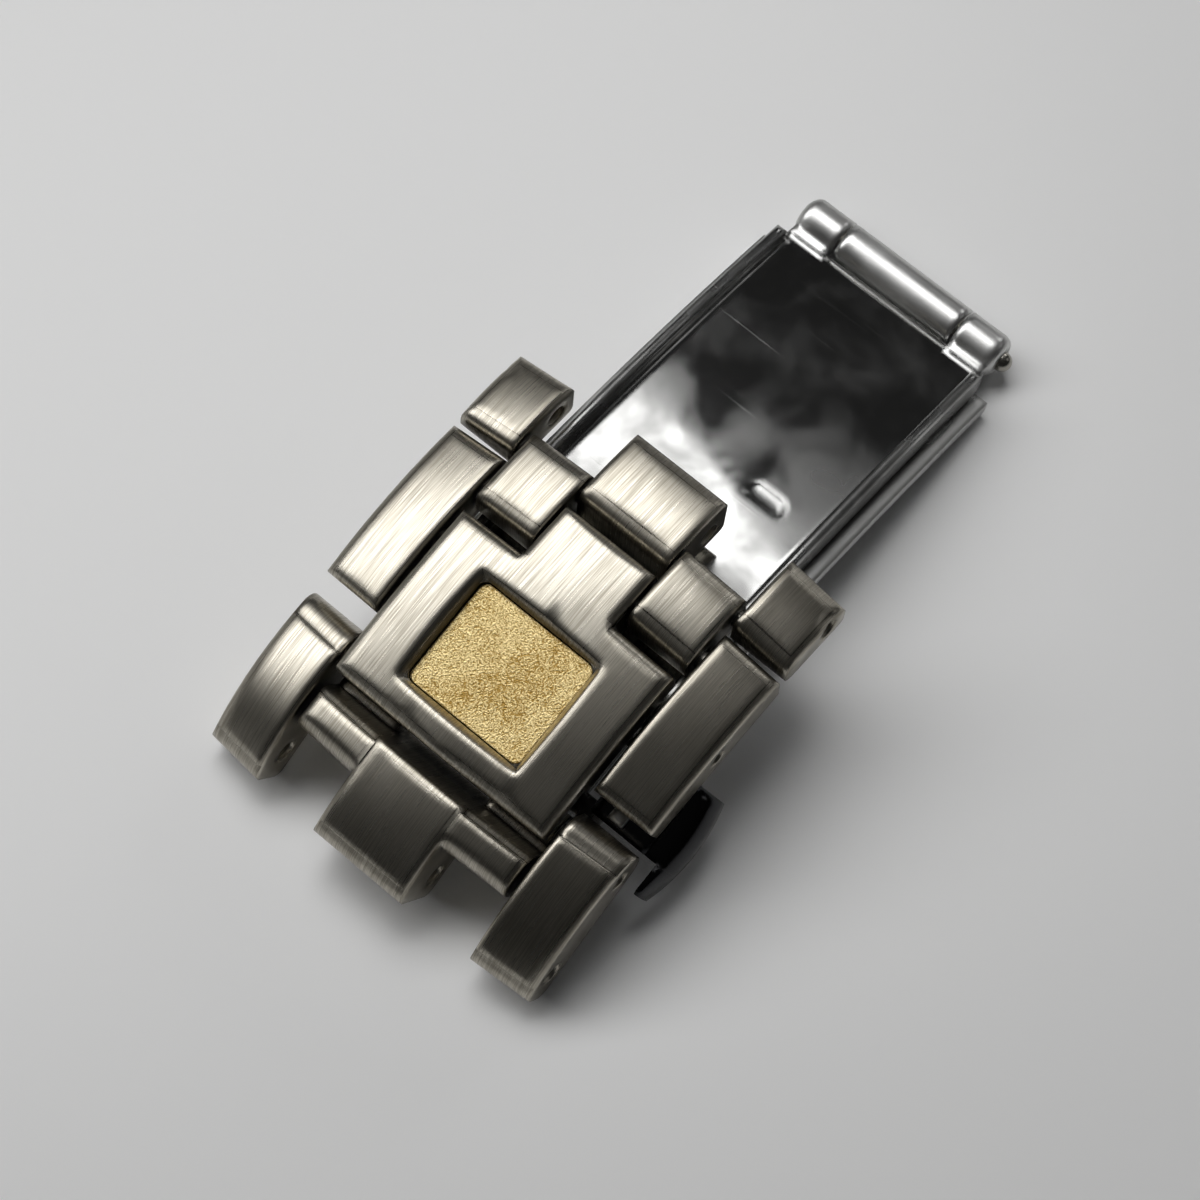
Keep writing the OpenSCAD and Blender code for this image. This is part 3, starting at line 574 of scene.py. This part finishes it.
def thumb_section(along, inner, drop):
    outer = ARC_MIDDLE - math.sqrt(ARC_RADIUS ** 2 - along ** 2)
    width = min(ROLL_WIDTH, ROLL_SHARE * (inner - outer))
    section = [(inner, UNDERSIDE), (inner, drop)]
    for step in range(ROLL_STEPS + 1):
        turn = math.radians(90 * step / ROLL_STEPS)
        across = outer + width * (1 - math.sin(turn))
        section.append((across, drop + (ROLL_END - drop) * (1 - math.cos(turn))))
    section += [(outer, UNDERSIDE + CHAMFER_UP), (outer + CHAMFER_IN, UNDERSIDE)]
    return [thumb_point(along, across, above) for across, above in section]


def spread(start, stop, count):
    return [start + (stop - start) * step / (count - 1) for step in range(count)]


def thumb_stations():
    stations = [(LOW_TIP, FREE_SIDE, LOW_TIP_DROP)]
    stations += [(along, FREE_SIDE, 0.0) for along in spread(FREE_FROM, FREE_TO, FREE_COUNT)]
    stations += [(along, GUIDED_SIDE, 0.0) for along in spread(GUIDED_FROM, GUIDED_TO, GUIDED_COUNT)]
    return stations + [(HIGH_TIP, GUIDED_SIDE, HIGH_TIP_DROP)]


print("stations along the thumb piece:", len(thumb_stations()))

# %% Loft the thumb piece
STEM_CUT = Vector((0, -8.22, 0)) * MM
INWARD = Vector((0, 1, 0))


def loft(bm, rings):
    rows = [[bm.verts.new(point) for point in ring] for ring in rings]
    for one, two in zip(rows, rows[1:]):
        for here in range(len(one)):
            after = (here + 1) % len(one)
            bm.faces.new((one[here], one[after], two[after], two[here]))
    bm.faces.new(rows[0][::-1])
    bm.faces.new(rows[-1])


def add_piece(name, bm, body, material):
    bmesh.ops.recalc_face_normals(bm, faces=bm.faces)
    mesh = bpy.data.meshes.new(name)
    bm.to_mesh(mesh)
    bm.free()
    mesh.materials.append(material)
    piece = bpy.data.objects.new(name, mesh)
    bpy.context.scene.collection.objects.link(piece)
    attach(piece, body)
    print(name, "faces:", len(mesh.polygons))
    return piece


def make_thumb():
    stem = bmesh.new()
    stem.from_mesh(NODES["pusher"].data)
    everything = stem.verts[:] + stem.edges[:] + stem.faces[:]
    cut = bmesh.ops.bisect_plane(stem, geom=everything, plane_co=STEM_CUT, plane_no=INWARD, clear_inner=True)
    rim = [edge for edge in cut["geom_cut"] if isinstance(edge, bmesh.types.BMEdge)]
    bmesh.ops.holes_fill(stem, edges=rim)
    loft(stem, [thumb_section(*station) for station in thumb_stations()])
    return add_piece("pusher_thumb", stem, "push_piece", pusher_steel)


thumb = make_thumb()
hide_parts("pusher")

# %% [markdown]
# ## The guide's cover sheet
# In the gap between the long link and the end link a dark sheet shows over the stem of the pusher. It
# belongs to the guide that the CAD has under the long link, and the thumb piece slides out from below it.
# It is a thin plate with eased edges, so a small box with bevelled edges in mesh code is enough. It lies
# along the thumb piece's top, just clear of it, so its sizes are in the same millimetres.

# %% Make the guide's sheet
SHEET_ALONG, SHEET_ACROSS, SHEET_ABOVE = (-1.1, 1.6), (-8.95, -5.95), (0.04, 0.24)
SHEET_EASING, SHEET_EASING_STEPS = 0.06 * MM, 2
FLAT_ANGLE = 0.02


def make_guide_sheet():
    bm = bmesh.new()
    for along in SHEET_ALONG:
        for across in SHEET_ACROSS:
            for above in SHEET_ABOVE:
                bm.verts.new(thumb_point(along, across, above))
    bmesh.ops.convex_hull(bm, input=bm.verts[:])
    bmesh.ops.dissolve_limit(bm, angle_limit=FLAT_ANGLE, verts=bm.verts[:], edges=bm.edges[:])
    bmesh.ops.bevel(bm, geom=bm.edges[:], offset=SHEET_EASING, segments=SHEET_EASING_STEPS, affect="EDGES")
    add_piece("guide_sheet", bm, "cover", pusher_steel)


make_guide_sheet()

# %% [markdown]
# ## Table
# The clasp lies on a pale, slightly glossy sheet: one square at the height of the object's lowest point,
# in a nearly white colour. The camera and the reflections also see a trace of plain brightness, one
# hundredth of white, so that the deepest shadow under the clasp isn't quite black.

# %% Make the table
FLOOR_Z = CAD_BOX[0][2]
TABLE_HALF = 0.6
TABLE_COLOUR, TABLE_ROUGHNESS = (0.92, 0.92, 0.915), 0.3
TRACE_COLOUR, TRACE_STRENGTH = (0.97, 0.98, 1.0), 0.01


def make_pale_sheet():
    material = bpy.data.materials.new("pale_table")
    material.use_nodes = True
    tree = material.node_tree
    shader = tree.nodes["Principled BSDF"]
    shader.inputs["Base Color"].default_value = (*TABLE_COLOUR, 1)
    shader.inputs["Roughness"].default_value = TABLE_ROUGHNESS
    shader.inputs["Emission Color"].default_value = (*TRACE_COLOUR, 1)
    path = tree.nodes.new("ShaderNodeLightPath")
    seen = math_node(tree, "MAXIMUM", path.outputs["Is Camera Ray"], path.outputs["Is Glossy Ray"])
    tree.links.new(math_node(tree, "MULTIPLY", seen, TRACE_STRENGTH), shader.inputs["Emission Strength"])
    return material


def make_table():
    mesh = bpy.data.meshes.new("table")
    corners = [(x * TABLE_HALF, y * TABLE_HALF, FLOOR_Z) for x, y in ((-1, -1), (1, -1), (1, 1), (-1, 1))]
    mesh.from_pydata(corners, [], [(0, 1, 2, 3)])
    mesh.materials.append(make_pale_sheet())
    table = bpy.data.objects.new("table", mesh)
    bpy.context.scene.collection.objects.link(table)
    print("table height in mm:", in_mm([FLOOR_Z]))


make_table()

# %% [markdown]
# ## Light
# Metal shows the room around it. On this clasp the middles of the links are light, their ends fall off to
# black, and the polished leaf is light near the links and black beyond. That is what one long, low strip
# of light gives: it faces straight down, runs from left to right across the picture, and hangs over its
# upper side. Everything else in the room is dark, or the black ends would turn grey. The strip reaches
# further to the left, so the shadow falls to the right. Each lamp's power is worked out from how bright
# its face should look, which is the power divided by pi and by the area.

# %% Hang the strip light
STRIP_PLACE = (-0.30, 0.155, 0.35)
STRIP_SIZE, STRIP_TURN, STRIP_BRIGHTNESS = (0.80, 0.23), math.radians(7), 3.35


def picture_place(right, up, height):
    return PICTURE_RIGHT * right + PICTURE_UP * up + UPRIGHT * height


def add_light(name, place, facing, size, brightness):
    data = bpy.data.lights.new(name, "AREA")
    data.shape = "RECTANGLE"
    data.size, data.size_y = size
    data.energy = brightness * math.pi * data.size * data.size_y
    lamp = bpy.data.objects.new(name, data)
    lamp.matrix_world = Matrix.Translation(place) @ facing
    bpy.context.scene.collection.objects.link(lamp)
    print(name, "place in m:", [round(v, 3) for v in place], "power in W:", round(data.energy, 2))


def hang_strip():
    picture_axes = Matrix((PICTURE_RIGHT, PICTURE_UP, UPRIGHT)).transposed().to_4x4()
    facing = picture_axes @ Matrix.Rotation(STRIP_TURN, 4, "Z")
    add_light("strip", picture_place(*STRIP_PLACE), facing, STRIP_SIZE, STRIP_BRIGHTNESS)


hang_strip()

# %% [markdown]
# Two small lights stand far off. The edge light, at the upper right, draws the thin bright lines on the
# rails and on the edges that face it. The weaker side light, at the right, lifts the right-hand links,
# which the strip hardly reaches. Both face the clasp from a low angle, so they add little to the table.

# %% Stand the two small lights
EDGE_LIGHT = ("edge_light", (0.267, 0.303, 0.175), (0.09, 0.09), 3.0)
SIDE_LIGHT = ("side_light", (0.383, 0.044, 0.211), (0.10, 0.10), 0.8)

for name, where, size, brightness in (EDGE_LIGHT, SIDE_LIGHT):
    place = picture_place(*where)
    add_light(name, place, place.to_track_quat("Z", "Y").to_matrix().to_4x4(), size, brightness)

# %% [markdown]
# ## The room
# Around the lamps the world is almost dark, but not black, because no real room is. It is a little
# lighter overhead than at the sides. It has no picture and no colour, so that the steel keeps its own.

# %% Make the room
SIDE_LEVEL, OVERHEAD_LEVEL = 0.008, 0.03


def make_room():
    world = bpy.data.worlds.new("dark_room")
    world.use_nodes = True
    bpy.context.scene.world = world
    tree = world.node_tree
    direction = tree.nodes.new("ShaderNodeSeparateXYZ")
    tree.links.new(tree.nodes.new("ShaderNodeTexCoord").outputs["Generated"], direction.inputs[0])
    level = map_range(tree, direction.outputs["Z"], 0.0, 1.0, SIDE_LEVEL, OVERHEAD_LEVEL)
    grey = tree.nodes.new("ShaderNodeCombineColor")
    for channel in ("Red", "Green", "Blue"):
        tree.links.new(level, grey.inputs[channel])
    tree.links.new(grey.outputs[0], tree.nodes["Background"].inputs["Color"])
    print("room level at the sides and overhead:", SIDE_LEVEL, OVERHEAD_LEVEL)


make_room()
bpy.context.scene.view_settings.view_transform = "Standard"
